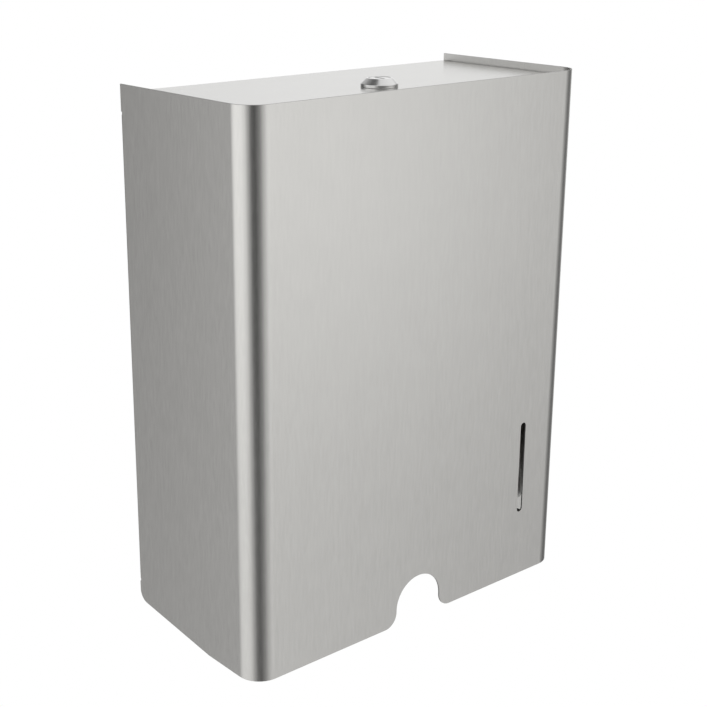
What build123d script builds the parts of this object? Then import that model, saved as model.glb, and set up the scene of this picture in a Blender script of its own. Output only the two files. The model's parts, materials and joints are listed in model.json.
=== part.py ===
from build123d import *
import math
import os

os.makedirs("parts", exist_ok=True)

# Z-fold towel dispenser of 1 mm stainless steel sheet, in millimetres.
# X runs to the right, Y towards the wall and Z up. The origin lies on the wall,
# at the centre of the four wall screws.

# Cover: one sheet bent round the front and both sides
cover_width = 280.0
cover_depth = 130.0
cover_height = 360.0
sheet = 1.0
bend_radius = 16.0
mount_height = 190.0
slope_start = 49.5
slope_rise = 8.7
corner_radius = 8.0
return_width = 12.0
return_radius = 2.0
return_start = 24.0
return_end = 341.0
relief_height = 2.0
relief_depth = 2.0
raw_edge_inset = 0.8

# Openings in the front of the cover
arch_radius = 20.0
arch_centre = 11.4
mouth_radius = 10.0
sight_slot_inset = 41.0
sight_slot_z = 83.4
sight_slot_length = 68.0
sight_slot_width = 5.0

# Back and top sheet
cover_gap = 0.5
plate_gap = 1.0
rim_height = 5.0
back_bend_radius = 3.0
back_rise = 12.0
back_corner = 6.0
lip_depth = 10.0
lip_radius = 2.0
lip_relief = 1.5
front_lip_inset = 12.0
side_lip_front = 24.0
side_lip_rear = 8.0
wall_hole_radius = 3.25
wall_spacing_x = 180.0
wall_spacing_z = 200.0

# Cheeks
cheek_space = 15.0
cheek_setback = 21.0
cheek_rise = 46.0
cheek_lean = 0.0803
cheek_corner = 5.0
foot_width = 20.0
foot_rise = 6.0

# Towel tray
tray_gap = 3.0
tray_front_inset = 16.0
tray_setback = 26.0
tray_flange = 11.0
tray_flange_start = 54.0
tray_flange_end = 6.0
tray_rear_inset = 6.0
tray_corner = 8.0
exit_centre = 75.0
exit_length = 190.0
exit_width = 54.0
exit_flare_radius = 37.0

# Hinge
hinge_setback = 12.0
hinge_rise = 18.0
hub_radius = 9.0
pin_radius = 3.0
pin_head_radius = 4.5
pin_head = 1.1
pin_tail = 0.9
groove_radius = 2.5
groove_width = 0.9
bush_wall = 1.5
bush_flange_radius = 6.5
bush_flange = 2.3
ear_thickness = 2.0
ear_foot_start = 48.0
ear_step = 26.0
ear_bend = 3.0
eye_radius = 8.99
clip_radius = 5.5
clip_thickness = 0.7
clip_mouth = 3.6
washer_radius = 6.0
washer_thickness = 0.8

# Cam lock
lock_setback = 47.0
lock_head_base = 12.0
lock_head_top = 8.3
lock_head_height = 5.7
lock_head_rim = 2.0
barrel_radius = 9.3
barrel_flat = 8.0
barrel_drop = 16.0
plug_radius = 6.0
plug_head_radius = 7.0
plug_head = 4.0
plug_recess = 0.3
keyway_length = 9.0
keyway_width = 2.2
keyway_depth = 12.0
spigot = 7.0
spigot_short = 0.1
nut_flats = 24.0
nut_height = 5.0
lock_washer_radius = 13.0
lock_washer_thickness = 1.0
cam_thickness = 1.5
cam_hub_radius = 9.0
cam_arm_width = 12.0
cam_reach = 36.0
cam_hook = 10.0
cam_bend = 2.5
screw_radius = 2.0
screw_length = 8.0
screw_head_radius = 4.0
screw_head_height = 2.4
screw_recess_radius = 1.5
screw_recess_depth = 1.3
cam_washer_radius = 6.0
cam_washer_thickness = 1.0

# Keeper on the cover
keeper_thickness = 2.0
keeper_width = 16.0
keeper_play = 1.5
keeper_headroom = 2.6
keeper_lip = 12.0
keeper_foot = 26.0
keeper_bend = 3.0

# Clearances
running = 0.05
seat = 0.02
thrust_gap = 0.1
hole_clearance = 0.1
cam_gap = 0.4

# Planes that the pieces share
back_face = -sheet
cover_rear = back_face - cover_gap
cover_front = cover_rear - cover_depth
cover_bottom = -mount_height
cover_top = cover_bottom + cover_height
cover_inner = cover_width / 2 - sheet
raw_edge = cover_rear - raw_edge_inset
relief_edge = cover_rear - relief_depth
plate_top = cover_top - rim_height
plate_under = plate_top - sheet
plate_half = cover_inner - plate_gap
plate_front = cover_front + sheet + plate_gap
plate_corner = bend_radius - sheet - plate_gap
front_lip_half = plate_half - plate_corner - front_lip_inset
cheek_inner = cover_inner - cheek_space
cheek_outer = cheek_inner + sheet
sight_slot_x = cover_width / 2 - sight_slot_inset
lip_strip = lip_radius + sheet
pin_y = cover_rear - hinge_setback
pin_z = cover_bottom + hinge_rise
lock_y = cover_front + lock_setback
return_low = cover_bottom + return_start
return_high = cover_bottom + return_end


def lip_outline(edge, top, bottom, inward, thickness, strip):
    """Six corners of a sheet edge that is bent down, from the flat sheet to the lip's end."""
    flat = edge + inward * strip
    inner = edge + inward * thickness
    return [
        (flat, top),
        (edge, top),
        (edge, bottom),
        (inner, bottom),
        (inner, top - thickness),
        (flat, top - thickness),
    ]


# Cover shell. Its wall is made in heights, because the rear edges are bent inwards
# only between two relief notches.
wall_heights = (
    (cover_bottom, return_low - relief_height, raw_edge, False),
    (return_low - relief_height, return_low, relief_edge, False),
    (return_low, return_high, cover_rear, True),
    (return_high, return_high + relief_height, relief_edge, False),
    (return_high + relief_height, cover_top, raw_edge, False),
)
with BuildPart() as cover_shell:
    for low, high, rear, returned in wall_heights:
        inner_rear = rear - sheet if returned else rear
        with BuildSketch(Plane.XY.offset(low)) as outside:
            with Locations((0, (cover_front + rear) / 2)):
                Rectangle(cover_width, rear - cover_front)
            fillet(outside.vertices().group_by(Axis.Y)[0], bend_radius)
            if returned:
                fillet(outside.vertices().group_by(Axis.Y)[-1], return_radius)
        extrude(amount=high - low)
        with BuildSketch(Plane.XY.offset(low)) as inside:
            with Locations((0, (cover_front + sheet + inner_rear) / 2)):
                Rectangle(2 * cover_inner, inner_rear - cover_front - sheet)
            fillet(inside.vertices().group_by(Axis.Y)[0], bend_radius - sheet)
            if returned:
                fillet(inside.vertices().group_by(Axis.Y)[-1], return_radius - sheet)
                with Locations((0, rear)):
                    Rectangle(2 * (cover_inner - return_width), 4 * sheet)
        extrude(amount=high - low, mode=Mode.SUBTRACT)
    # The lower edge of each side is level, then rises to the rounded corner at the wall.
    with BuildSketch(Plane.YZ) as side_view:
        with BuildLine():
            Polyline(
                (cover_front - sheet, cover_bottom),
                (cover_front + slope_start, cover_bottom),
                (raw_edge, cover_bottom + slope_rise),
                (raw_edge, return_low),
                (cover_rear + sheet, return_low),
                (cover_rear + sheet, cover_top),
                (cover_front - sheet, cover_top),
                close=True,
            )
        make_face()
        rear_corner = (raw_edge, cover_bottom + slope_rise, 0)
        fillet(side_view.vertices().sort_by_distance(rear_corner)[0], corner_radius)
    extrude(amount=cover_width, both=True, mode=Mode.INTERSECT)
    # Arched finger notch in the lower edge of the front
    with BuildSketch(Plane.XZ.offset(-cover_front)):
        with Locations((0, cover_bottom + arch_centre)):
            Circle(arch_radius)
            Rectangle(2 * arch_radius, 2 * arch_centre, align=(Align.CENTER, Align.MAX))
    extrude(amount=2 * sheet, both=True, mode=Mode.SUBTRACT)
    arch_corners = (
        cover_shell.edges()
        .filter_by(Axis.Y)
        .filter_by_position(Axis.Z, cover_bottom - sheet, cover_bottom + sheet)
        .filter_by_position(Axis.X, -arch_radius - sheet, arch_radius + sheet)
    )
    fillet(arch_corners, mouth_radius)
    # Upright sight slot that shows how many towels are left
    with BuildSketch(Plane.XZ.offset(-cover_front)):
        with Locations((sight_slot_x, cover_bottom + sight_slot_z)):
            SlotOverall(sight_slot_length, sight_slot_width, rotation=90)
    extrude(amount=2 * sheet, both=True, mode=Mode.SUBTRACT)
cover_shell.part.label = "cover_shell"
export_step(cover_shell.part, "parts/cover_shell.step")

# Back and top sheet, bent from one piece, with its three upper edges turned down
back_bottom = cover_bottom + back_rise
with BuildPart() as back_top_sheet:
    with BuildSketch(Plane.YZ) as bent:
        with BuildLine():
            Polyline(
                (0, back_bottom),
                (0, plate_top),
                (plate_front, plate_top),
                (plate_front, plate_under),
                (back_face, plate_under),
                (back_face, back_bottom),
                close=True,
            )
        make_face()
        fillet(bent.vertices().sort_by_distance((0, plate_top, 0))[0], back_bend_radius)
        fillet(
            bent.vertices().sort_by_distance((back_face, plate_under, 0))[0],
            back_bend_radius - sheet,
        )
    extrude(amount=plate_half, both=True)
    front_corners = back_top_sheet.edges().filter_by(Axis.Z).group_by(Axis.Y)[0]
    fillet(front_corners, plate_corner)
    lower_corners = back_top_sheet.edges().filter_by(Axis.Y).group_by(Axis.Z)[0]
    fillet(lower_corners, back_corner)
    # Front lip, with a relief cut at each end
    with BuildSketch(Plane.XY.offset(plate_under)):
        with Locations((0, plate_front)):
            Rectangle(
                2 * (front_lip_half + lip_relief),
                lip_strip,
                align=(Align.CENTER, Align.MIN),
            )
    extrude(amount=sheet, mode=Mode.SUBTRACT)
    with BuildSketch(Plane.YZ) as front_lip:
        with BuildLine():
            Polyline(
                *lip_outline(
                    plate_front, plate_top, plate_top - lip_depth, 1, sheet, lip_strip
                ),
                close=True,
            )
        make_face()
        outer_bend = (plate_front, plate_top, 0)
        inner_bend = (plate_front + sheet, plate_under, 0)
        fillet(front_lip.vertices().sort_by_distance(outer_bend)[0], lip_radius)
        fillet(front_lip.vertices().sort_by_distance(inner_bend)[0], lip_radius - sheet)
    extrude(amount=front_lip_half, both=True)
    # Side lips
    side_lip_low = cover_front + side_lip_front
    side_lip_length = -side_lip_rear - side_lip_low
    for side in (-1, 1):
        with BuildSketch(Plane.XY.offset(plate_under)):
            with Locations((side * plate_half, side_lip_low + side_lip_length / 2)):
                Rectangle(2 * lip_strip, side_lip_length + 2 * lip_relief)
        extrude(amount=sheet, mode=Mode.SUBTRACT)
        with BuildSketch(Plane.XZ.offset(-side_lip_low)) as side_lip:
            with BuildLine():
                Polyline(
                    *lip_outline(
                        side * plate_half,
                        plate_top,
                        plate_top - lip_depth,
                        -side,
                        sheet,
                        lip_strip,
                    ),
                    close=True,
                )
            make_face()
            outer_bend = (side * plate_half, plate_top, 0)
            inner_bend = (side * (plate_half - sheet), plate_under, 0)
            fillet(side_lip.vertices().sort_by_distance(outer_bend)[0], lip_radius)
            fillet(side_lip.vertices().sort_by_distance(inner_bend)[0], lip_radius - sheet)
        extrude(amount=-side_lip_length)
    # Hole with two flats for the lock
    with BuildSketch(Plane.XY.offset(plate_under)):
        with Locations((0, lock_y)):
            Circle(barrel_radius + hole_clearance)
            Rectangle(
                2 * (barrel_flat + hole_clearance),
                2 * barrel_radius + sheet,
                mode=Mode.INTERSECT,
            )
    extrude(amount=sheet, mode=Mode.SUBTRACT)
    # Holes for the wall screws
    with BuildSketch(Plane.XZ):
        with GridLocations(wall_spacing_x, wall_spacing_z, 2, 2):
            Circle(wall_hole_radius)
    extrude(amount=2 * sheet, both=True, mode=Mode.SUBTRACT)
back_top_sheet.part.label = "back_top_sheet"
export_step(back_top_sheet.part, "parts/back_top_sheet.step")

# Corners of a cheek, seen from the side. Its lower edge runs tangent to the hinge hub.
tray_top = cover_bottom + cheek_rise
cheek_front = cover_front + cheek_setback
cheek_top_front = cheek_front + cheek_lean * (plate_under - tray_top)
foot_low = pin_z + foot_rise
to_pin_y = pin_y - cheek_front
to_pin_z = pin_z - tray_top
pin_distance = math.hypot(to_pin_y, to_pin_z)
edge_angle = math.atan2(to_pin_z, to_pin_y) - math.asin(hub_radius / pin_distance)
edge_length = math.sqrt(pin_distance**2 - hub_radius**2)
edge_end = (
    cheek_front + edge_length * math.cos(edge_angle),
    tray_top + edge_length * math.sin(edge_angle),
)

for side, hand in ((1, "right"), (-1, "left")):
    # Cheek: an upright web, with a foot that is welded to the back sheet
    with BuildPart() as cheek:
        with BuildSketch(Plane.XY.offset(cover_bottom)) as angle:
            with BuildLine():
                Polyline(
                    (cheek_inner, cheek_front - sheet),
                    (cheek_outer, cheek_front - sheet),
                    (cheek_outer, back_face),
                    (cheek_inner - foot_width, back_face),
                    (cheek_inner - foot_width, back_face - sheet),
                    (cheek_inner, back_face - sheet),
                    close=True,
                )
            make_face()
            outer_bend = (cheek_outer, back_face, 0)
            inner_bend = (cheek_inner, back_face - sheet, 0)
            fillet(angle.vertices().sort_by_distance(outer_bend)[0], lip_radius)
            fillet(angle.vertices().sort_by_distance(inner_bend)[0], lip_radius - sheet)
        extrude(amount=cover_height)
        with BuildSketch(Plane.YZ) as web:
            with BuildLine():
                Polyline(
                    (cheek_front, tray_top),
                    (cheek_top_front, plate_under),
                    (back_face, plate_under),
                    (back_face, foot_low),
                    (pin_y + hub_radius, foot_low),
                    (pin_y + hub_radius, pin_z),
                    (pin_y, pin_z),
                    edge_end,
                    close=True,
                )
            make_face()
            lower_tip = (cheek_front, tray_top, 0)
            upper_tip = (cheek_top_front, plate_under, 0)
            fillet(web.vertices().sort_by_distance(lower_tip)[0], cheek_corner)
            fillet(web.vertices().sort_by_distance(upper_tip)[0], cheek_corner)
            with Locations((pin_y, pin_z)):
                Circle(hub_radius)
                Circle(pin_radius + running, mode=Mode.SUBTRACT)
        extrude(amount=cover_width, both=True, mode=Mode.INTERSECT)
        if side < 0:
            mirror(about=Plane.YZ, mode=Mode.REPLACE)
    cheek.part.label = f"{hand}_cheek"
    export_step(cheek.part, f"parts/{hand}_cheek.step")

# Towel tray, with its edges turned down and an opening that the towels are pulled through.
# Its side flanges are fixed to the cheeks.
tray_under = tray_top - sheet
tray_front = cover_front + sheet + tray_gap
tray_wide_front = cover_front + tray_setback
tray_front_half = cheek_inner - tray_front_inset
tray_rear_half = cheek_inner - foot_width - tray_rear_inset
tray_flange_low = cover_front + tray_flange_start
tray_flange_length = back_face - tray_flange_end - tray_flange_low
with BuildPart() as towel_tray:
    with BuildSketch(Plane.XY.offset(tray_under)) as tray_plan:
        with Locations((0, tray_wide_front)):
            Rectangle(
                2 * cheek_inner,
                back_face - tray_wide_front,
                align=(Align.CENTER, Align.MIN),
            )
        with Locations((0, tray_front)):
            Rectangle(
                2 * tray_front_half,
                tray_wide_front - tray_front + tray_corner,
                align=(Align.CENTER, Align.MIN),
            )
        fillet(
            tray_plan.vertices().filter_by_position(
                Axis.Y, tray_wide_front - sheet, tray_wide_front + sheet
            ),
            tray_corner,
        )
        with Locations((0, cover_front + exit_centre)):
            SlotOverall(exit_length, exit_width, mode=Mode.SUBTRACT)
            Circle(exit_flare_radius, mode=Mode.SUBTRACT)
    extrude(amount=sheet)
    for end, inward, half in ((tray_front, 1, tray_front_half), (back_face, -1, tray_rear_half)):
        with BuildSketch(Plane.XY.offset(tray_under)):
            with Locations((0, end)):
                Rectangle(2 * cheek_inner, 2 * lip_strip)
        extrude(amount=sheet, mode=Mode.SUBTRACT)
        with BuildSketch(Plane.YZ) as end_lip:
            with BuildLine():
                Polyline(
                    *lip_outline(
                        end, tray_top, tray_top - tray_flange, inward, sheet, lip_strip
                    ),
                    close=True,
                )
            make_face()
            outer_bend = (end, tray_top, 0)
            inner_bend = (end + inward * sheet, tray_under, 0)
            fillet(end_lip.vertices().sort_by_distance(outer_bend)[0], lip_radius)
            fillet(end_lip.vertices().sort_by_distance(inner_bend)[0], lip_radius - sheet)
        extrude(amount=half, both=True)
    for side in (-1, 1):
        with BuildSketch(Plane.XY.offset(tray_under)):
            with Locations((side * cheek_inner, tray_flange_low + tray_flange_length / 2)):
                Rectangle(2 * lip_strip, tray_flange_length + 2 * lip_relief)
        extrude(amount=sheet, mode=Mode.SUBTRACT)
        with BuildSketch(Plane.XZ.offset(-tray_flange_low)) as side_flange:
            with BuildLine():
                Polyline(
                    *lip_outline(
                        side * cheek_inner,
                        tray_top,
                        tray_top - tray_flange,
                        -side,
                        sheet,
                        lip_strip,
                    ),
                    close=True,
                )
            make_face()
            outer_bend = (side * cheek_inner, tray_top, 0)
            inner_bend = (side * (cheek_inner - sheet), tray_under, 0)
            fillet(side_flange.vertices().sort_by_distance(outer_bend)[0], lip_radius)
            fillet(
                side_flange.vertices().sort_by_distance(inner_bend)[0],
                lip_radius - sheet,
            )
        extrude(amount=-tray_flange_length)
towel_tray.part.label = "towel_tray"
export_step(towel_tray.part, "parts/towel_tray.step")

# Hinge, worked out along its pin from the cheek outwards
bush_start = cheek_outer + thrust_gap
ear_inner = bush_start + bush_flange
ear_outer = ear_inner + ear_thickness
bush_end = ear_outer + thrust_gap
washer_start = bush_end + thrust_gap
groove_start = washer_start + washer_thickness
groove_end = groove_start + groove_width
pin_end = groove_end + pin_tail
bush_radius = pin_radius + running + bush_wall
ear_start = cover_front + ear_foot_start
ear_bend_y = pin_y - ear_step

for side, hand in ((1, "right"), (-1, "left")):
    # Pin, riveted to the cheek, with a groove for its clip
    with BuildPart() as hinge_pin:
        for start, end, radius in (
            (cheek_inner - pin_head, cheek_inner, pin_head_radius),
            (cheek_inner, groove_start, pin_radius),
            (groove_start, groove_end, groove_radius),
            (groove_end, pin_end, pin_radius),
        ):
            with BuildSketch(Plane.YZ.offset(start)):
                with Locations((pin_y, pin_z)):
                    Circle(radius)
            extrude(amount=end - start)
        if side < 0:
            mirror(about=Plane.YZ, mode=Mode.REPLACE)
    hinge_pin.part.label = f"{hand}_hinge_pin"
    export_step(hinge_pin.part, f"parts/{hand}_hinge_pin.step")

    # Joggled ear: its foot is welded inside the cover, and its eye turns on the bush
    with BuildPart() as hinge_ear:
        with BuildSketch(Plane.XY.offset(pin_z - hub_radius)) as joggle:
            with BuildLine():
                Polyline(
                    (cover_inner, ear_start),
                    (cover_inner, ear_bend_y),
                    (ear_outer, ear_bend_y),
                    (ear_outer, pin_y + hub_radius),
                    (ear_inner, pin_y + hub_radius),
                    (ear_inner, ear_bend_y - ear_thickness),
                    (cover_inner - ear_thickness, ear_bend_y - ear_thickness),
                    (cover_inner - ear_thickness, ear_start),
                    close=True,
                )
            make_face()
            for corner, radius in (
                ((cover_inner, ear_bend_y), ear_bend),
                ((ear_outer, ear_bend_y), ear_bend - ear_thickness),
                ((ear_inner, ear_bend_y - ear_thickness), ear_bend),
                (
                    (cover_inner - ear_thickness, ear_bend_y - ear_thickness),
                    ear_bend - ear_thickness,
                ),
            ):
                fillet(joggle.vertices().sort_by_distance((*corner, 0))[0], radius)
        extrude(amount=2 * hub_radius)
        eye_corners = hinge_ear.edges().filter_by(Axis.X).group_by(Axis.Y)[-1]
        fillet(eye_corners, eye_radius)
        foot_corners = hinge_ear.edges().filter_by(Axis.X).group_by(Axis.Y)[0]
        fillet(foot_corners, ear_bend)
        with BuildSketch(Plane.YZ.offset(ear_inner)):
            with Locations((pin_y, pin_z)):
                Circle(bush_radius + seat)
        extrude(amount=ear_thickness, mode=Mode.SUBTRACT)
        if side < 0:
            mirror(about=Plane.YZ, mode=Mode.REPLACE)
    hinge_ear.part.label = f"{hand}_hinge_ear"
    export_step(hinge_ear.part, f"parts/{hand}_hinge_ear.step")

    # Flanged bush in the ear's eye
    with BuildPart() as hinge_bush:
        with BuildSketch(Plane.YZ.offset(bush_start)):
            with Locations((pin_y, pin_z)):
                Circle(bush_flange_radius)
        extrude(amount=bush_flange)
        with BuildSketch(Plane.YZ.offset(ear_inner)):
            with Locations((pin_y, pin_z)):
                Circle(bush_radius)
        extrude(amount=bush_end - ear_inner)
        with BuildSketch(Plane.YZ.offset(bush_start)):
            with Locations((pin_y, pin_z)):
                Circle(pin_radius + running)
        extrude(amount=bush_end - bush_start, mode=Mode.SUBTRACT)
        if side < 0:
            mirror(about=Plane.YZ, mode=Mode.REPLACE)
    hinge_bush.part.label = f"{hand}_hinge_bush"
    export_step(hinge_bush.part, f"parts/{hand}_hinge_bush.step")

    # Washer between the bush and the clip
    with BuildPart() as hinge_washer:
        with BuildSketch(Plane.YZ.offset(washer_start)):
            with Locations((pin_y, pin_z)):
                Circle(washer_radius)
                Circle(pin_radius + hole_clearance, mode=Mode.SUBTRACT)
        extrude(amount=washer_thickness)
        if side < 0:
            mirror(about=Plane.YZ, mode=Mode.REPLACE)
    hinge_washer.part.label = f"{hand}_hinge_washer"
    export_step(hinge_washer.part, f"parts/{hand}_hinge_washer.step")

    # Open retaining clip in the pin's groove
    with BuildPart() as hinge_clip:
        with BuildSketch(Plane.YZ.offset(groove_start + thrust_gap)):
            with Locations((pin_y, pin_z)):
                Circle(clip_radius)
                Circle(groove_radius + running, mode=Mode.SUBTRACT)
                Rectangle(
                    clip_mouth,
                    2 * clip_radius,
                    align=(Align.CENTER, Align.MAX),
                    mode=Mode.SUBTRACT,
                )
        extrude(amount=clip_thickness)
        if side < 0:
            mirror(about=Plane.YZ, mode=Mode.REPLACE)
    hinge_clip.part.label = f"{hand}_hinge_clip"
    export_step(hinge_clip.part, f"parts/{hand}_hinge_clip.step")

# Cam lock, worked out downwards from the face of its head
head_top = plate_top + lock_head_height
plug_top = head_top - plug_recess
plug_shoulder = plug_top - plug_head
barrel_bottom = plate_top - barrel_drop
cam_top = barrel_bottom - cam_gap
cam_under = cam_top - cam_thickness
cam_washer_under = cam_under - cam_washer_thickness
lock_axis = Axis((0, lock_y, 0), (0, 0, 1))
lock_section = Plane(origin=(0, lock_y, 0), x_dir=(1, 0, 0), z_dir=(0, -1, 0))

# Barrel with a rimmed, tapered head and two flats along its shank
with BuildPart() as lock_barrel:
    with BuildSketch(Plane.XY.offset(barrel_bottom)):
        with Locations((0, lock_y)):
            Circle(barrel_radius)
            Rectangle(2 * barrel_flat, 2 * barrel_radius, mode=Mode.INTERSECT)
    extrude(amount=barrel_drop)
    with BuildSketch(lock_section) as head:
        with BuildLine():
            Polyline(
                (0, plate_top),
                (lock_head_base, plate_top),
                (lock_head_base, plate_top + lock_head_rim),
                (lock_head_top, head_top),
                (0, head_top),
                close=True,
            )
        make_face()
    revolve(axis=lock_axis)
    with BuildSketch(Plane.XY.offset(barrel_bottom)):
        with Locations((0, lock_y)):
            Circle(plug_radius + running)
    extrude(amount=head_top - barrel_bottom, mode=Mode.SUBTRACT)
    with BuildSketch(Plane.XY.offset(plug_shoulder)):
        with Locations((0, lock_y)):
            Circle(plug_head_radius + running)
    extrude(amount=head_top - plug_shoulder, mode=Mode.SUBTRACT)
lock_barrel.part.label = "lock_barrel"
export_step(lock_barrel.part, "parts/lock_barrel.step")

# Washer and nut under the top sheet
nut_top = plate_under - lock_washer_thickness
with BuildPart() as lock_washer:
    with BuildSketch(Plane.XY.offset(nut_top)):
        with Locations((0, lock_y)):
            Circle(lock_washer_radius)
            Circle(barrel_radius + hole_clearance, mode=Mode.SUBTRACT)
    extrude(amount=lock_washer_thickness)
lock_washer.part.label = "lock_washer"
export_step(lock_washer.part, "parts/lock_washer.step")

with BuildPart() as lock_nut:
    with BuildSketch(Plane.XY.offset(nut_top - nut_height)):
        with Locations((0, lock_y)):
            RegularPolygon(nut_flats / 2, 6, major_radius=False)
            Circle(barrel_radius + running, mode=Mode.SUBTRACT)
    extrude(amount=nut_height)
lock_nut.part.label = "lock_nut"
export_step(lock_nut.part, "parts/lock_nut.step")

# Plug that the key turns, with a square spigot for the cam
with BuildPart() as lock_plug:
    for start, end, radius in (
        (cam_top, plug_shoulder, plug_radius),
        (plug_shoulder, plug_top, plug_head_radius),
    ):
        with BuildSketch(Plane.XY.offset(start)):
            with Locations((0, lock_y)):
                Circle(radius)
        extrude(amount=end - start)
    with BuildSketch(Plane.XY.offset(cam_under + spigot_short)):
        with Locations((0, lock_y)):
            Rectangle(spigot, spigot)
    extrude(amount=cam_thickness - spigot_short)
    with BuildSketch(Plane.XY.offset(plug_top)):
        with Locations((0, lock_y)):
            Rectangle(keyway_width, keyway_length)
    extrude(amount=-keyway_depth, mode=Mode.SUBTRACT)
    with BuildSketch(Plane.XY.offset(cam_under)):
        with Locations((0, lock_y)):
            Circle(screw_radius + running)
    extrude(amount=screw_length, mode=Mode.SUBTRACT)
lock_plug.part.label = "lock_plug"
export_step(lock_plug.part, "parts/lock_plug.step")

# Cam: at rest it points to the side, and a quarter turn puts its hook before the keeper
with BuildPart() as lock_cam:
    with BuildSketch(lock_section) as hooked:
        with BuildLine():
            Polyline(
                (-cam_hub_radius, cam_top),
                (cam_reach, cam_top),
                (cam_reach, cam_top - cam_hook),
                (cam_reach - cam_thickness, cam_top - cam_hook),
                (cam_reach - cam_thickness, cam_under),
                (-cam_hub_radius, cam_under),
                close=True,
            )
        make_face()
        outer_bend = (cam_reach, cam_top, 0)
        inner_bend = (cam_reach - cam_thickness, cam_under, 0)
        fillet(hooked.vertices().sort_by_distance(outer_bend)[0], cam_bend)
        fillet(hooked.vertices().sort_by_distance(inner_bend)[0], cam_bend - cam_thickness)
    extrude(amount=cam_hub_radius, both=True)
    with BuildSketch(Plane.XY.offset(cam_top - cam_hook)):
        with Locations((0, lock_y)):
            Circle(cam_hub_radius)
            Rectangle(cam_reach, cam_arm_width, align=(Align.MIN, Align.CENTER))
            Rectangle(
                spigot + 2 * hole_clearance,
                spigot + 2 * hole_clearance,
                mode=Mode.SUBTRACT,
            )
    extrude(amount=cam_hook, mode=Mode.INTERSECT)
lock_cam.part.label = "lock_cam"
export_step(lock_cam.part, "parts/lock_cam.step")

with BuildPart() as cam_washer:
    with BuildSketch(Plane.XY.offset(cam_washer_under)):
        with Locations((0, lock_y)):
            Circle(cam_washer_radius)
            Circle(screw_radius + hole_clearance, mode=Mode.SUBTRACT)
    extrude(amount=cam_washer_thickness)
cam_washer.part.label = "cam_washer"
export_step(cam_washer.part, "parts/cam_washer.step")

# Screw that holds the cam on the plug, with a hexagon recess
with BuildPart() as cam_screw:
    with BuildSketch(Plane.XY.offset(cam_washer_under)):
        with Locations((0, lock_y)):
            Circle(screw_radius)
    extrude(amount=screw_length)
    with BuildSketch(Plane.XY.offset(cam_washer_under - screw_head_height)):
        with Locations((0, lock_y)):
            Circle(screw_head_radius)
    extrude(amount=screw_head_height)
    with BuildSketch(Plane.XY.offset(cam_washer_under - screw_head_height)):
        with Locations((0, lock_y)):
            RegularPolygon(screw_recess_radius, 6)
    extrude(amount=screw_recess_depth, mode=Mode.SUBTRACT)
cam_screw.part.label = "cam_screw"
export_step(cam_screw.part, "parts/cam_screw.step")

# Keeper, welded inside the cover. Its upturned lip stands just behind the cam's hook.
keeper_front = cover_front + sheet
keeper_lip_front = lock_y - cam_reach + cam_thickness + keeper_play
keeper_lip_rear = keeper_lip_front + keeper_thickness
keeper_lip_top = cam_under - keeper_headroom
keeper_leg = keeper_lip_top - keeper_lip
with BuildPart() as lock_keeper:
    with BuildSketch(Plane.YZ) as keeper_side:
        with BuildLine():
            Polyline(
                (keeper_front, keeper_leg - keeper_foot),
                (keeper_front, keeper_leg + keeper_thickness),
                (keeper_lip_front, keeper_leg + keeper_thickness),
                (keeper_lip_front, keeper_lip_top),
                (keeper_lip_rear, keeper_lip_top),
                (keeper_lip_rear, keeper_leg),
                (keeper_front + keeper_thickness, keeper_leg),
                (keeper_front + keeper_thickness, keeper_leg - keeper_foot),
                close=True,
            )
        make_face()
        for corner, radius in (
            ((keeper_front, keeper_leg + keeper_thickness), keeper_bend),
            ((keeper_lip_rear, keeper_leg), keeper_bend),
            ((keeper_lip_front, keeper_leg + keeper_thickness), keeper_bend - keeper_thickness),
            ((keeper_front + keeper_thickness, keeper_leg), keeper_bend - keeper_thickness),
        ):
            fillet(keeper_side.vertices().sort_by_distance((*corner, 0))[0], radius)
    extrude(amount=keeper_width / 2, both=True)
lock_keeper.part.label = "lock_keeper"
export_step(lock_keeper.part, "parts/lock_keeper.step")
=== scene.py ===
# Z-fold towel dispenser in satin stainless steel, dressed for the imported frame. Lengths are in metres.
import json
import math
import bpy
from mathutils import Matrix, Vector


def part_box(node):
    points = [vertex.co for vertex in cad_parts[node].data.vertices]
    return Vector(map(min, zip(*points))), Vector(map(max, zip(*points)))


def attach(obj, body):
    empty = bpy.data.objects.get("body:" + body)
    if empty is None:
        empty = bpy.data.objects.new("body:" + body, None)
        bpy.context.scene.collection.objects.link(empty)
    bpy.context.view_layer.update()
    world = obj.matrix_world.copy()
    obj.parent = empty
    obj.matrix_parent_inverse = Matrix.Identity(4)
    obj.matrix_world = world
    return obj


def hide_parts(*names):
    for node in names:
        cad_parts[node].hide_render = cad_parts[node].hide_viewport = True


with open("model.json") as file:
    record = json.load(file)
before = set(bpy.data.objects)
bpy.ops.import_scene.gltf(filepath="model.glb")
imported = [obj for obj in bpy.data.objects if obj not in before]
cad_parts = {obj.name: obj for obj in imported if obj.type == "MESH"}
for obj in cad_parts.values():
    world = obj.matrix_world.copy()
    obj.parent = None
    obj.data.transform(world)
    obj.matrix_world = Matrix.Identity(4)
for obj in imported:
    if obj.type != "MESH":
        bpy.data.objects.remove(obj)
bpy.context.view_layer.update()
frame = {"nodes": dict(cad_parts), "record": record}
cadNodes = frame["nodes"]
bodyOfNode = {}
for bodyName, members in frame["record"]["behaviour"]["bodies"].items():
    for member in members:
        bodyOfNode[member] = bodyName
print("frame loaded:", len(cadNodes), "nodes")

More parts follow.
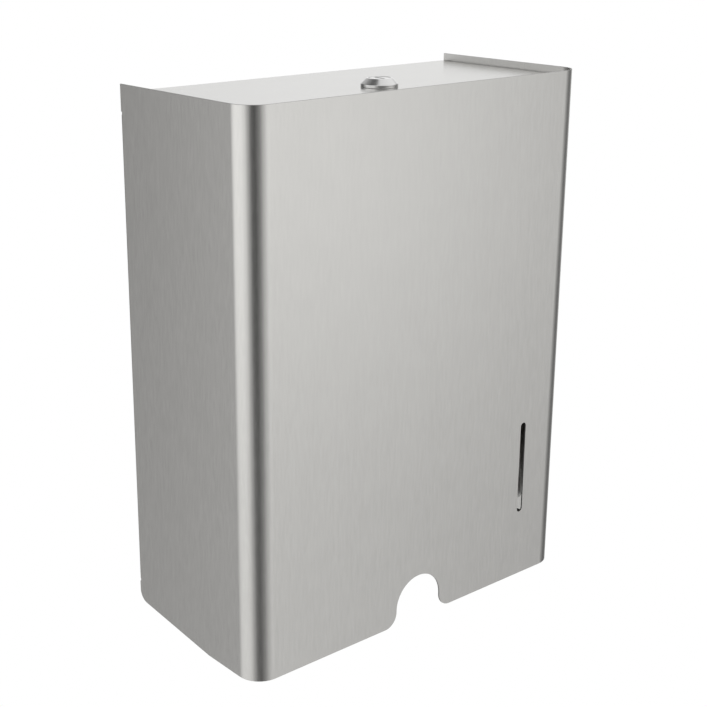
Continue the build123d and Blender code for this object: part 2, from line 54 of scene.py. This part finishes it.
# Camera, solved from the straight edges of the box
cameraSetup = {
    "place": (-0.5925, -0.7310, 0.2762),
    "pitch": 72.37,
    "heading": -39.625,
    "sensor": 36,
    "lens": 70.04,
    "shiftX": 0.0621,
    "shiftY": -0.0208,
    "clipStart": 0.01,
}
bpy.ops.object.camera_add(location=cameraSetup["place"])
camera = bpy.context.object
camera.name = "viewCamera"
camera.rotation_euler = (math.radians(cameraSetup["pitch"]), 0, math.radians(cameraSetup["heading"]))
camera.data.sensor_width = cameraSetup["sensor"]
camera.data.lens = cameraSetup["lens"]
camera.data.shift_x = cameraSetup["shiftX"]
camera.data.shift_y = cameraSetup["shiftY"]
camera.data.clip_start = cameraSetup["clipStart"]
camera.data.dof.use_dof = False
bpy.context.scene.camera = camera
bpy.context.scene.view_settings.view_transform = "Standard"
print("camera placed")


def deselectAll():
    for item in bpy.context.selected_objects:
        item.select_set(False)


def selectOnly(piece):
    deselectAll()
    piece.select_set(True)
    bpy.context.view_layer.objects.active = piece


def addNode(tree, kind, **settings):
    node = tree.nodes.new(kind)
    for name, value in settings.items():
        setattr(node, name, value)
    return node


def mathNode(tree, operation, first, second=None):
    node = addNode(tree, "ShaderNodeMath", operation=operation)
    for index, value in enumerate((first, second)):
        if value is None:
            continue
        if isinstance(value, (int, float)):
            node.inputs[index].default_value = value
        else:
            tree.links.new(value, node.inputs[index])
    return node.outputs[0]


# Studio light, all round the dispenser. Each stop of a ring is a bearing, in degrees from +Y
# towards +X, and the light's level there. Elevations are in degrees, and straight down is -90.
studio = {
    "overheadRing": [
        (0, 0.50), (14, 0.84), (30, 1.00), (60, 1.06), (90, 0.98), (150, 0.86), (200, 0.82), (232, 0.72),
        (256, 0.52), (278, 0.28), (300, 0.12), (322, 0.14), (343, 0.30),
    ],
    "upperRing": [
        (0, 0.12), (14, 0.46), (26, 0.90), (44, 0.96), (60, 0.98), (70, 0.72), (80, 0.34), (92, 0.20),
        (104, 0.20), (114, 0.34), (125, 0.60), (139, 1.05), (156, 1.06), (174, 0.72), (194, 0.28),
        (211, 0.10), (225, 0.14), (240, 0.54), (254, 1.00), (270, 1.18), (288, 1.20), (303, 1.18),
        (313, 0.90), (321, 0.56), (330, 0.34), (343, 0.12),
    ],
    "lowerRing": [
        (0, 0.44), (40, 0.58), (56, 0.46), (68, 0.34), (81, 0.22), (95, 0.16), (107, 0.20), (118, 0.38),
        (130, 0.58), (143, 0.77), (158, 0.78), (174, 0.60), (194, 0.28), (211, 0.14), (225, 0.18),
        (240, 0.48), (254, 0.82), (270, 0.94), (288, 0.94), (303, 0.90), (313, 0.70), (321, 0.51),
        (330, 0.38), (343, 0.32),
    ],
    "ground": 0.66,
    "upperElevation": -8.0,
    "overheadStart": 14.0,
    "lowerElevation": -29.0,
    "overheadElevation": 34.0,
    "groundStart": -36.0,
    "groundElevation": -66.0,
    "strength": 1.25,
    "background": 1.0,
}


def greyLevel(value):
    level = value / studio["strength"]  # so that no colour passes 1
    return (level, level, level, 1)


def ringRamp(tree, bearing, stops):
    ramp = addNode(tree, "ShaderNodeValToRGB")
    ramp.color_ramp.interpolation = "EASE"
    elements = ramp.color_ramp.elements
    elements[0].position = 0.0
    elements[0].color = greyLevel(stops[0][1])
    elements[1].position = 1.0
    elements[1].color = greyLevel(stops[0][1])
    for angle, value in stops[1:]:
        element = elements.new(angle / 360)
        element.color = greyLevel(value)
    tree.links.new(bearing, ramp.inputs["Fac"])
    return ramp.outputs["Color"]


def fadeBetween(tree, elevation, start, end):
    fade = addNode(tree, "ShaderNodeMapRange", interpolation_type="SMOOTHSTEP")
    fade.inputs["From Min"].default_value = math.radians(start)
    fade.inputs["From Max"].default_value = math.radians(end)
    tree.links.new(elevation, fade.inputs["Value"])
    return fade.outputs["Result"]


def mixLevels(tree, factor, first, second):
    mix = addNode(tree, "ShaderNodeMix", data_type="RGBA")
    tree.links.new(factor, mix.inputs["Factor"])
    for socket, value in ((mix.inputs["A"], first), (mix.inputs["B"], second)):
        if isinstance(value, float):
            socket.default_value = greyLevel(value)
        else:
            tree.links.new(value, socket)
    return mix.outputs["Result"]


def makeStudio():
    world = bpy.data.worlds.new("studioLight")
    bpy.context.scene.world = world
    world.use_nodes = True
    tree = world.node_tree
    tree.nodes.clear()
    direction = addNode(tree, "ShaderNodeTexCoord").outputs["Generated"]
    parts = addNode(tree, "ShaderNodeSeparateXYZ")
    tree.links.new(direction, parts.inputs[0])
    turned = mathNode(tree, "ARCTAN2", parts.outputs["X"], parts.outputs["Y"])
    bearing = mathNode(tree, "FRACT", mathNode(tree, "DIVIDE", turned, 2 * math.pi))
    elevation = mathNode(tree, "ARCSINE", parts.outputs["Z"])
    upper = ringRamp(tree, bearing, studio["upperRing"])
    lower = ringRamp(tree, bearing, studio["lowerRing"])
    overhead = ringRamp(tree, bearing, studio["overheadRing"])
    sinking = fadeBetween(tree, elevation, studio["upperElevation"], studio["lowerElevation"])
    rings = mixLevels(tree, sinking, upper, lower)
    rising = fadeBetween(tree, elevation, studio["overheadStart"], studio["overheadElevation"])
    withSky = mixLevels(tree, rising, rings, overhead)
    falling = fadeBetween(tree, elevation, studio["groundStart"], studio["groundElevation"])
    allRound = mixLevels(tree, falling, withSky, studio["ground"])
    light = addNode(tree, "ShaderNodeBackground")
    light.inputs["Strength"].default_value = studio["strength"]
    tree.links.new(allRound, light.inputs["Color"])
    white = addNode(tree, "ShaderNodeBackground")
    white.inputs["Color"].default_value = (1, 1, 1, 1)
    white.inputs["Strength"].default_value = studio["background"]
    path = addNode(tree, "ShaderNodeLightPath")
    chosen = addNode(tree, "ShaderNodeMixShader")
    tree.links.new(path.outputs["Is Camera Ray"], chosen.inputs["Fac"])
    tree.links.new(light.outputs[0], chosen.inputs[1])
    tree.links.new(white.outputs[0], chosen.inputs[2])
    out = addNode(tree, "ShaderNodeOutputWorld")
    tree.links.new(chosen.outputs[0], out.inputs["Surface"])


makeStudio()

# Pale floor, well below the dispenser, as it hangs on its wall
floorSetup = {"size": 6.0, "drop": 0.9, "glow": 1.0}


def makeFloor():
    deselectAll()
    bpy.ops.mesh.primitive_plane_add(size=floorSetup["size"], location=(0, 0, -floorSetup["drop"]))
    floor = bpy.context.object
    floor.name = "paleFloor"
    paint = bpy.data.materials.new("floorPaint")
    paint.use_nodes = True
    tree = paint.node_tree
    tree.nodes.clear()
    glow = addNode(tree, "ShaderNodeEmission")
    glow.inputs["Color"].default_value = (1, 1, 1, 1)
    glow.inputs["Strength"].default_value = floorSetup["glow"]
    out = addNode(tree, "ShaderNodeOutputMaterial")
    tree.links.new(glow.outputs[0], out.inputs["Surface"])
    floor.data.materials.append(paint)
    floor.visible_glossy = False
    floor.visible_diffuse = False


makeFloor()
print("studio light and floor made")

# Finishes. A stroke of the grain is as wide as "across" and as long as "along", and it runs
# along the axes in "grain". "toneDepth" is how far strokes and clouds darken the metal.
finishes = {
    "satinCover": {
        "colour": (0.661, 0.653, 0.632), "metal": 1.0, "roughness": 0.22, "spread": 0.03, "bump": 0.05,
        "across": 0.0012, "along": 0.010, "grain": "z", "toneDepth": 0.075,
    },
    "satinBack": {
        "colour": (0.670, 0.665, 0.648), "metal": 1.0, "roughness": 0.23, "spread": 0.03, "bump": 0.05,
        "across": 0.0012, "along": 0.010, "grain": "yz", "toneDepth": 0.075,
    },
    "satinInside": {
        "colour": (0.660, 0.654, 0.636), "metal": 0.92, "roughness": 0.32, "spread": 0.05, "bump": 0.06,
        "across": 0.0006, "along": 0.02, "grain": "z", "toneDepth": 0.06,
    },
    "millSheet": {
        "colour": (0.660, 0.655, 0.640), "metal": 0.50, "roughness": 0.46, "spread": 0.07, "bump": 0.08,
        "across": 0.0008, "along": 0.006, "grain": "z", "toneDepth": 0.10,
    },
    # Painted shade: a dark grey on the cover's cut edges, standing in for the shadow they sit in
    "cutEdgePaintedShade": {
        "colour": (0.230, 0.228, 0.222), "metal": 0.9, "roughness": 0.40, "spread": 0.06, "bump": 0.08,
        "across": 0.0004, "along": 0.0004, "grain": "xyz", "toneDepth": 0.10,
    },
    "turnedSteel": {
        "colour": (0.600, 0.598, 0.590), "metal": 1.0, "roughness": 0.24, "spread": 0.05, "bump": 0.05,
        "across": 0.00015, "along": 0.004, "grain": "yz", "toneDepth": 0.03,
    },
    "lockChrome": {
        "colour": (0.760, 0.757, 0.750), "metal": 1.0, "roughness": 0.18, "spread": 0.04, "bump": 0.02,
        "across": 0.0002, "along": 0.0002, "grain": "xyz", "toneDepth": 0.04,
    },
    "camZinc": {
        "colour": (0.620, 0.622, 0.615), "metal": 1.0, "roughness": 0.30, "spread": 0.08, "bump": 0.04,
        "across": 0.0004, "along": 0.0004, "grain": "xyz", "toneDepth": 0.08,
    },
    "weldTint": {
        "colour": (0.470, 0.440, 0.395), "metal": 0.8, "roughness": 0.42, "spread": 0.10, "bump": 0.10,
        "across": 0.0006, "along": 0.0006, "grain": "xyz", "toneDepth": 0.25,
    },
    "clipBlack": {
        "colour": (0.075, 0.075, 0.080), "metal": 0.9, "roughness": 0.42, "spread": 0.08, "bump": 0.04,
        "across": 0.0003, "along": 0.0003, "grain": "xyz", "toneDepth": 0.10,
    },
}

# Noise in every metal: strokes, and clouds that are larger. "share" is the strokes' part of the tone.
grainTexture = {
    "detail": 3.0, "roughness": 0.6, "share": 0.75, "low": 0.3, "high": 0.7, "bumpDepth": 0.00005,
    "cloudScale": 45.0, "cloudDetail": 2.0,
}


def strokeScale(finish):  # strokes per metre along X, Y and Z
    return tuple(1 / finish["along"] if axis in finish["grain"] else 1 / finish["across"] for axis in "xyz")


def noiseRange(tree, noise, low, high):
    spread = addNode(tree, "ShaderNodeMapRange")
    spread.inputs["From Min"].default_value = grainTexture["low"]
    spread.inputs["From Max"].default_value = grainTexture["high"]
    spread.inputs["To Min"].default_value = low
    spread.inputs["To Max"].default_value = high
    tree.links.new(noise, spread.inputs["Value"])
    return spread.outputs["Result"]


def makeMetal(name):
    finish = finishes[name]
    metal = bpy.data.materials.new(name)
    metal.use_nodes = True
    tree = metal.node_tree
    shader = tree.nodes["Principled BSDF"]
    shader.inputs["Metallic"].default_value = finish["metal"]
    place = addNode(tree, "ShaderNodeTexCoord").outputs["Object"]
    stroke = addNode(tree, "ShaderNodeMapping")
    stroke.inputs["Scale"].default_value = strokeScale(finish)
    tree.links.new(place, stroke.inputs["Vector"])
    grain = addNode(tree, "ShaderNodeTexNoise")
    grain.inputs["Scale"].default_value = 1.0
    grain.inputs["Detail"].default_value = grainTexture["detail"]
    grain.inputs["Roughness"].default_value = grainTexture["roughness"]
    tree.links.new(stroke.outputs[0], grain.inputs["Vector"])
    cloud = addNode(tree, "ShaderNodeTexNoise")
    cloud.inputs["Scale"].default_value = grainTexture["cloudScale"]
    cloud.inputs["Detail"].default_value = grainTexture["cloudDetail"]
    tree.links.new(place, cloud.inputs["Vector"])
    tone = addNode(tree, "ShaderNodeMix", data_type="RGBA", blend_type="MULTIPLY")
    tone.inputs["Factor"].default_value = 1.0
    tone.inputs["A"].default_value = (*finish["colour"], 1)
    strokes = mathNode(tree, "MULTIPLY", grain.outputs["Fac"], grainTexture["share"])
    clouds = mathNode(tree, "MULTIPLY", cloud.outputs["Fac"], 1 - grainTexture["share"])
    both = mathNode(tree, "ADD", strokes, clouds)
    shade = noiseRange(tree, both, 1 - finish["toneDepth"], 1.0)
    tree.links.new(shade, tone.inputs["B"])
    tree.links.new(tone.outputs["Result"], shader.inputs["Base Color"])
    smooth = finish["roughness"] - finish["spread"]
    dull = finish["roughness"] + finish["spread"]
    rough = noiseRange(tree, grain.outputs["Fac"], smooth, dull)
    tree.links.new(rough, shader.inputs["Roughness"])
    bump = addNode(tree, "ShaderNodeBump")
    bump.inputs["Strength"].default_value = finish["bump"]
    bump.inputs["Distance"].default_value = grainTexture["bumpDepth"]
    tree.links.new(grain.outputs["Fac"], bump.inputs["Height"])
    tree.links.new(bump.outputs["Normal"], shader.inputs["Normal"])
    return metal


# Nylon of the hinge bushes, with a fine speckle
bushNylon = {
    "dark": (0.80, 0.79, 0.73, 1), "light": (0.88, 0.87, 0.82, 1), "roughness": 0.45, "speckle": 900.0,
    "depth": 0.2, "depthRadius": (0.002, 0.0018, 0.0015),
}


def makeNylon():
    nylon = bpy.data.materials.new("bushNylon")
    nylon.use_nodes = True
    tree = nylon.node_tree
    shader = tree.nodes["Principled BSDF"]
    shader.inputs["Roughness"].default_value = bushNylon["roughness"]
    shader.inputs["Subsurface Weight"].default_value = bushNylon["depth"]
    shader.inputs["Subsurface Radius"].default_value = bushNylon["depthRadius"]
    place = addNode(tree, "ShaderNodeTexCoord").outputs["Object"]
    speckle = addNode(tree, "ShaderNodeTexNoise")
    speckle.inputs["Scale"].default_value = bushNylon["speckle"]
    tree.links.new(place, speckle.inputs["Vector"])
    tone = addNode(tree, "ShaderNodeMix", data_type="RGBA")
    tone.inputs["A"].default_value = bushNylon["dark"]
    tone.inputs["B"].default_value = bushNylon["light"]
    tree.links.new(speckle.outputs["Fac"], tone.inputs["Factor"])
    tree.links.new(tone.outputs["Result"], shader.inputs["Base Color"])
    return nylon


materials = {name: makeMetal(name) for name in finishes}
materials["bushNylon"] = makeNylon()
print("finishes made:", len(materials))

# What each CAD node wears: its finish, others inside and on cut edges (the dark colour on cut edges
# is painted shade), and the width to which its edges are broken
dressing = {
    "cover_shell": {"finish": "satinCover", "inside": "satinInside", "cut": "cutEdgePaintedShade", "edge": 0.00016},
    "back_top_sheet": {"finish": "satinBack", "inside": "satinInside", "edge": 0.00016},
    "left_cheek": {"finish": "millSheet", "edge": 0.00015},
    "right_cheek": {"finish": "millSheet", "edge": 0.00015},
    "towel_tray": {"finish": "millSheet", "edge": 0.00015},
    "left_hinge_ear": {"finish": "millSheet", "edge": 0.0003},
    "right_hinge_ear": {"finish": "millSheet", "edge": 0.0003},
    "lock_keeper": {"finish": "millSheet", "edge": 0.0003},
    "left_hinge_pin": {"finish": "turnedSteel", "edge": 0.0003},
    "right_hinge_pin": {"finish": "turnedSteel", "edge": 0.0003},
    "left_hinge_washer": {"finish": "turnedSteel", "edge": 0.0001},
    "right_hinge_washer": {"finish": "turnedSteel", "edge": 0.0001},
    "left_hinge_clip": {"finish": "clipBlack", "edge": 0.0001},
    "right_hinge_clip": {"finish": "clipBlack", "edge": 0.0001},
    "left_hinge_bush": {"finish": "bushNylon", "edge": 0.0002},
    "right_hinge_bush": {"finish": "bushNylon", "edge": 0.0002},
    "lock_barrel": {"finish": "lockChrome", "edge": 0.0003},
    "lock_washer": {"finish": "turnedSteel", "edge": 0.0002},
    "lock_nut": {"finish": "lockChrome", "edge": 0.0004},
    "lock_plug": {"finish": "lockChrome", "edge": 0.0002},
    "lock_cam": {"finish": "camZinc", "edge": 0.0003},
    "cam_washer": {"finish": "turnedSteel", "edge": 0.0002},
    "cam_screw": {"finish": "turnedSteel", "edge": 0.0004},
}


def camelName(nodeName):
    first, *rest = nodeName.split("_")
    return first + "".join(word.capitalize() for word in rest)


sheetThickness = 0.001
coverLow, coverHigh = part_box("cover_shell")
cavityMiddle = [(low + high) / 2 for low, high in zip(coverLow, coverHigh)]
faceTests = {"towardsCavity": 0.3, "upOrDown": 0.9, "acrossFront": 0.2}  # limits on a face's normal
meshCare = {
    "mergeDistance": 0.000002, "flatAngle": 0.4, "bevelAngle": 32, "bevelSegments": 2, "smoothAngle": 40,
    "normalWeight": 100,
}


def facesCavity(face):
    inwards = [middle - place for middle, place in zip(cavityMiddle, face.center)]
    reach = math.dist(cavityMiddle, face.center)
    along = sum(part * way for part, way in zip(face.normal, inwards))
    return along > faceTests["towardsCavity"] * reach


# Picks the cover's cut-edge faces, which are given the dark painted shade
def onPaintedShadeEdge(face):  # upper and lower edges of the cover, and the edges of its notch and slot
    withinFront = face.center.y < coverLow[1] + sheetThickness
    ofOpening = withinFront and abs(face.normal.y) < faceTests["acrossFront"]
    return abs(face.normal.z) > faceTests["upOrDown"] or ofOpening


def dressNode(nodeName):
    look = dressing[nodeName]
    source = cadNodes[nodeName]
    piece = bpy.data.objects.new(camelName(nodeName), source.data.copy())
    bpy.context.scene.collection.objects.link(piece)
    selectOnly(piece)
    bpy.ops.object.mode_set(mode="EDIT")
    bpy.ops.mesh.select_all(action="SELECT")
    bpy.ops.mesh.remove_doubles(threshold=meshCare["mergeDistance"])
    bpy.ops.mesh.dissolve_limited(angle_limit=math.radians(meshCare["flatAngle"]))
    bpy.ops.mesh.select_all(action="DESELECT")
    bpy.ops.object.mode_set(mode="OBJECT")
    piece.data.materials.clear()
    piece.data.materials.append(materials[look["finish"]])
    for part, wanted in (("inside", facesCavity), ("cut", onPaintedShadeEdge)):
        if part not in look:
            continue
        piece.data.materials.append(materials[look[part]])
        for face in piece.data.polygons:
            if wanted(face):
                face.material_index = len(piece.data.materials) - 1
    softened = piece.modifiers.new("brokenEdges", "BEVEL")
    softened.width = look["edge"]
    softened.segments = meshCare["bevelSegments"]
    softened.limit_method = "ANGLE"
    softened.angle_limit = math.radians(meshCare["bevelAngle"])
    bpy.ops.object.modifier_apply(modifier=softened.name)
    bpy.ops.object.shade_smooth_by_angle(angle=math.radians(meshCare["smoothAngle"]))
    levelled = piece.modifiers.new("levelledNormals", "WEIGHTED_NORMAL")
    levelled.weight = meshCare["normalWeight"]
    levelled.keep_sharp = True
    bpy.ops.object.modifier_apply(modifier=levelled.name)
    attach(piece, bodyOfNode[nodeName])
    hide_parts(nodeName)


for nodeName in dressing:
    dressNode(nodeName)
print("nodes dressed:", len(dressing))

# Small fasteners and forms that the CAD nodes leave out
smallPiece = {"bevelSegments": 2, "smoothAngle": 35}


def facesUp(face):
    return face.normal.z > faceTests["upOrDown"]


def selectFaces(piece, wanted):
    bpy.ops.object.mode_set(mode="OBJECT")
    for group in (piece.data.vertices, piece.data.edges, piece.data.polygons):
        for item in group:
            item.select = False
    for face in piece.data.polygons:
        face.select = wanted(face)
    bpy.ops.object.mode_set(mode="EDIT")
    bpy.ops.mesh.select_mode(type="FACE")


def finishPiece(piece, name, finish, bodyName, edge=0.0):
    selectOnly(piece)
    piece.name = name
    bpy.ops.object.transform_apply(location=True, rotation=True, scale=True)
    if edge > 0:
        softened = piece.modifiers.new("brokenEdges", "BEVEL")
        softened.width = edge
        softened.segments = smallPiece["bevelSegments"]
        softened.limit_method = "ANGLE"
        bpy.ops.object.modifier_apply(modifier=softened.name)
    bpy.ops.object.shade_smooth_by_angle(angle=math.radians(smallPiece["smoothAngle"]))
    piece.data.materials.clear()
    piece.data.materials.append(materials[finish])
    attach(piece, bodyName)


def placeCopy(pattern, place, turn):  # a copy with its own mesh, turned about X, Y and Z in degrees
    copied = pattern.copy()
    copied.data = pattern.data.copy()
    bpy.context.scene.collection.objects.link(copied)
    copied.location = place
    copied.rotation_euler = [math.radians(angle) for angle in turn]
    return copied


# Blind rivets through the tray's side flanges and the cheeks, each with a head and a tail
trayRivet = {
    "headRadius": 0.0034, "tailRadius": 0.0029, "sides": 28, "rim": 0.0005, "crown": 0.0005,
    "crownInset": 0.0012, "stemInset": 0.0009, "stemDepth": 0.0005, "edge": 0.00012,
    "belowTray": 0.0065, "fromWall": (0.0190, 0.0655),
}


def makeRivetHead(radius):
    deselectAll()
    bpy.ops.mesh.primitive_cylinder_add(
        vertices=trayRivet["sides"], radius=radius, depth=trayRivet["rim"],
        location=(0, 0, trayRivet["rim"] / 2))
    head = bpy.context.object
    bpy.ops.object.transform_apply(location=True)
    selectFaces(head, facesUp)
    bpy.ops.mesh.inset(thickness=trayRivet["crownInset"], depth=0)
    bpy.ops.transform.translate(value=(0, 0, trayRivet["crown"]))
    bpy.ops.mesh.inset(thickness=trayRivet["stemInset"], depth=0)
    bpy.ops.mesh.extrude_region_move(TRANSFORM_OT_translate={"value": (0, 0, -trayRivet["stemDepth"])})
    bpy.ops.object.mode_set(mode="OBJECT")
    return head


def makeRivets():
    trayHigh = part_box("towel_tray")[1]
    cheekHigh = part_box("right_cheek")[1]
    height = trayHigh[2] - trayRivet["belowTray"]
    outerFace = cheekHigh[0]
    innerFace = trayHigh[0] - sheetThickness
    ends = (("Head", trayRivet["headRadius"], outerFace), ("Tail", trayRivet["tailRadius"], innerFace))
    for kind, radius, offset in ends:
        pattern = makeRivetHead(radius)
        outwards = 1 if kind == "Head" else -1
        for handName, hand in (("right", 1), ("left", -1)):
            for number, depth in enumerate(trayRivet["fromWall"]):
                rivet = placeCopy(pattern, (hand * offset, -depth, height), (0, 90 * hand * outwards, 0))
                name = f"{handName}Rivet{kind}{number + 1}"
                finishPiece(rivet, name, "turnedSteel", "chassis", trayRivet["edge"])
        bpy.data.objects.remove(pattern)


makeRivets()
print("tray rivets made")

# Spot welds: a shallow dish with a faint heat tint where a foot is welded to a sheet
spotWeld = {
    "radius": 0.0023, "sides": 24, "proud": 0.00006, "sunk": 0.00010, "ring": 0.0006, "dish": 0.00008,
    "cheekHeights": (-0.120, -0.040, 0.040, 0.120), "earPlaces": (0.008, 0.026),
    "keeperAside": 0.004, "keeperHeight": 0.008, "footDepth": 0.002,
}


def makeWeldPattern():
    deselectAll()
    thickness = spotWeld["proud"] + spotWeld["sunk"]
    bpy.ops.mesh.primitive_cylinder_add(
        vertices=spotWeld["sides"], radius=spotWeld["radius"], depth=thickness,
        location=(0, 0, spotWeld["proud"] - thickness / 2))
    weld = bpy.context.object
    bpy.ops.object.transform_apply(location=True)
    selectFaces(weld, facesUp)
    bpy.ops.mesh.inset(thickness=spotWeld["ring"] / 2, depth=0)
    bpy.ops.mesh.inset(thickness=spotWeld["ring"], depth=0)
    bpy.ops.transform.translate(value=(0, 0, -spotWeld["dish"]))
    bpy.ops.object.mode_set(mode="OBJECT")
    return weld


def makeWelds():
    cheekLow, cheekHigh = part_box("right_cheek")
    earLow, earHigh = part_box("right_hinge_ear")
    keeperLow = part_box("lock_keeper")[0]
    footMiddle = (cheekLow[0] + cheekHigh[0] - sheetThickness) / 2
    footDepth = spotWeld["footDepth"]
    earFace = earHigh[0] - footDepth
    earMiddle = (earLow[2] + earHigh[2]) / 2
    keeperFace = keeperLow[1] + footDepth
    keeperWeld = keeperLow[2] + spotWeld["keeperHeight"]
    spots = []
    for hand in (1, -1):
        for height in spotWeld["cheekHeights"]:
            spots.append(("chassis", (hand * footMiddle, -footDepth, height), (90, 0, 0)))
        for along in spotWeld["earPlaces"]:
            spots.append(("cover", (hand * earFace, earLow[1] + along, earMiddle), (0, -90 * hand, 0)))
        spots.append(("cover", (hand * spotWeld["keeperAside"], keeperFace, keeperWeld), (-90, 0, 0)))
    pattern = makeWeldPattern()
    for number, (bodyName, place, turn) in enumerate(spots):
        weld = placeCopy(pattern, place, turn)
        finishPiece(weld, f"spotWeld{number + 1}", "weldTint", bodyName)
    bpy.data.objects.remove(pattern)


makeWelds()
print("spot welds made")

# Inside of the keyway: a sprung shutter and two wards
keywayInside = {
    "shutter": (0.0021, 0.0088, 0.0004), "shutterDepth": 0.0011, "lip": 0.0005, "rise": 0.00015,
    "ward": (0.0005, 0.0014, 0.0030), "wardDepth": 0.0032,
    "wardPlaces": ((0.00085, -0.0018), (-0.00085, 0.0022)), "edge": 0.00008,
}


def makeBlock(size, place):
    deselectAll()
    bpy.ops.mesh.primitive_cube_add(size=1, location=place)
    block = bpy.context.object
    block.scale = size
    bpy.ops.object.transform_apply(location=False, rotation=False, scale=True)
    return block


def makeKeyway():
    plugLow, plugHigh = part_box("lock_plug")
    middle = ((plugLow[0] + plugHigh[0]) / 2, (plugLow[1] + plugHigh[1]) / 2)
    shutter = makeBlock(keywayInside["shutter"], (*middle, plugHigh[2] - keywayInside["shutterDepth"]))
    selectFaces(shutter, facesUp)
    bpy.ops.mesh.inset(thickness=keywayInside["lip"], depth=0)
    bpy.ops.transform.translate(value=(0, 0, keywayInside["rise"]))
    bpy.ops.object.mode_set(mode="OBJECT")
    finishPiece(shutter, "keywayShutter", "clipBlack", "plug", keywayInside["edge"])
    for number, (across, along) in enumerate(keywayInside["wardPlaces"]):
        place = (middle[0] + across, middle[1] + along, plugHigh[2] - keywayInside["wardDepth"])
        ward = makeBlock(keywayInside["ward"], place)
        name = f"keywayWard{number + 1}"
        finishPiece(ward, name, "lockChrome", "plug", keywayInside["edge"])


makeKeyway()
print("keyway made")

# Thread on the part of the barrel that stands below the nut, cut away on the two flats
barrelThread = {
    "rootRadius": 0.0093, "height": 0.00022, "pitch": 0.0010, "profileSides": 6, "steps": 56,
    "flat": 0.0080, "margin": 0.0006,
}


def makeThread():
    barrelLow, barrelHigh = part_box("lock_barrel")
    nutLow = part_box("lock_nut")[0]
    middle = ((barrelLow[0] + barrelHigh[0]) / 2, (barrelLow[1] + barrelHigh[1]) / 2)
    start = barrelLow[2] + barrelThread["margin"]
    turns = int((nutLow[2] - start - barrelThread["margin"]) / barrelThread["pitch"])
    deselectAll()
    bpy.ops.mesh.primitive_circle_add(
        vertices=barrelThread["profileSides"], radius=barrelThread["height"], fill_type="NOTHING",
        location=(barrelThread["rootRadius"], 0, 0), rotation=(math.radians(90), 0, 0))
    thread = bpy.context.object
    bpy.ops.object.transform_apply(location=True, rotation=True)
    wound = thread.modifiers.new("wound", "SCREW")
    wound.axis = "Z"
    wound.screw_offset = barrelThread["pitch"]
    wound.iterations = turns
    wound.steps = barrelThread["steps"]
    wound.render_steps = barrelThread["steps"]
    bpy.ops.object.modifier_apply(modifier=wound.name)
    thread.location = (*middle, start)
    bpy.ops.object.transform_apply(location=True)
    bpy.ops.object.mode_set(mode="EDIT")
    for side in (1, -1):
        bpy.ops.mesh.select_all(action="SELECT")
        bpy.ops.mesh.bisect(
            plane_co=(side * barrelThread["flat"], 0, 0), plane_no=(side, 0, 0), use_fill=True,
            clear_outer=True)
    bpy.ops.mesh.select_all(action="SELECT")
    bpy.ops.mesh.fill_holes(sides=barrelThread["profileSides"] + 2)
    bpy.ops.mesh.normals_make_consistent(inside=False)
    bpy.ops.object.mode_set(mode="OBJECT")
    finishPiece(thread, "barrelThread", "lockChrome", "chassis")


makeThread()
print("barrel thread made")
